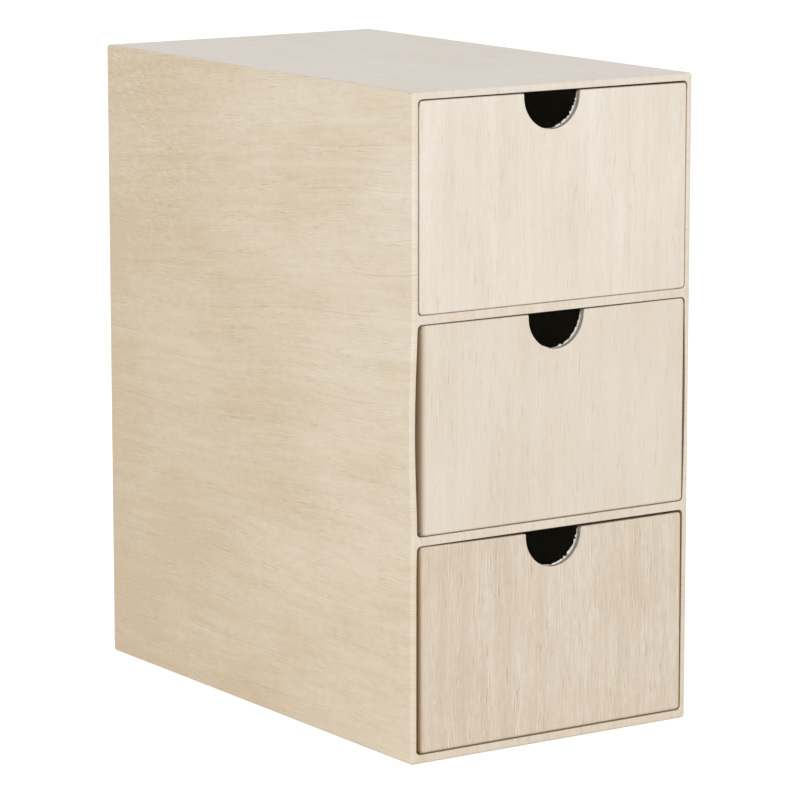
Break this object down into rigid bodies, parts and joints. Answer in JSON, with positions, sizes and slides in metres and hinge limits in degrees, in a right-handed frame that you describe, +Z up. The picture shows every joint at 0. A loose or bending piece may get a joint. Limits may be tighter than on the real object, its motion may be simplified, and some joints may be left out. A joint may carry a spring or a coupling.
{
  "type": "desktop mini drawers",
  "caption": "Tall narrow desktop cabinet of stacked open-topped box drawers with half-round finger notches, in grey board wrapped with wood-effect paper.",
  "frame": {"origin": "on the surface it stands on, under the middle of the closed cabinet", "axes": "+Z up, -Y towards the user at the drawers' fronts, +X to the right as seen from the front"},
  "size_m": [0.168, 0.29, 0.33],
  "materials": {
    "oak_paper": "matt printed pale oak decor, slightly embossed",
    "grey_board": "raw grey board with a rough cut edge",
    "liner_paper": "plain uncoated off-white paper"
  },
  "bodies": {
    "cabinet": {"left_side_board": "grey_board", "right_side_board": "grey_board", "top_board": "grey_board", "base_board": "grey_board", "back_board": "grey_board", "upper_shelf_board": "grey_board", "lower_shelf_board": "grey_board", "upper_shelf_edging": "oak_paper", "lower_shelf_edging": "oak_paper", "cabinet_wrap": "oak_paper", "back_sheet": "oak_paper", "base_sheet": "oak_paper"},
    "bottom_drawer": {"bottom_drawer_floor_board": "grey_board", "bottom_drawer_front_board": "grey_board", "bottom_drawer_back_board": "grey_board", "bottom_drawer_left_board": "grey_board", "bottom_drawer_right_board": "grey_board", "bottom_drawer_wrap": "oak_paper", "bottom_drawer_liner": "liner_paper"},
    "middle_drawer": {"middle_drawer_floor_board": "grey_board", "middle_drawer_front_board": "grey_board", "middle_drawer_back_board": "grey_board", "middle_drawer_left_board": "grey_board", "middle_drawer_right_board": "grey_board", "middle_drawer_wrap": "oak_paper", "middle_drawer_liner": "liner_paper"},
    "top_drawer": {"top_drawer_floor_board": "grey_board", "top_drawer_front_board": "grey_board", "top_drawer_back_board": "grey_board", "top_drawer_left_board": "grey_board", "top_drawer_right_board": "grey_board", "top_drawer_wrap": "oak_paper", "top_drawer_liner": "liner_paper"}
  },
  "joints": [
    {"name": "bottom_drawer_slide", "type": "slide", "parent": "cabinet", "child": "bottom_drawer", "axis": [0, -1, 0], "range_m": [0, 0.24]},
    {"name": "middle_drawer_slide", "type": "slide", "parent": "cabinet", "child": "middle_drawer", "axis": [0, -1, 0], "range_m": [0, 0.24]},
    {"name": "top_drawer_slide", "type": "slide", "parent": "cabinet", "child": "top_drawer", "axis": [0, -1, 0], "range_m": [0, 0.24]}
  ]
}
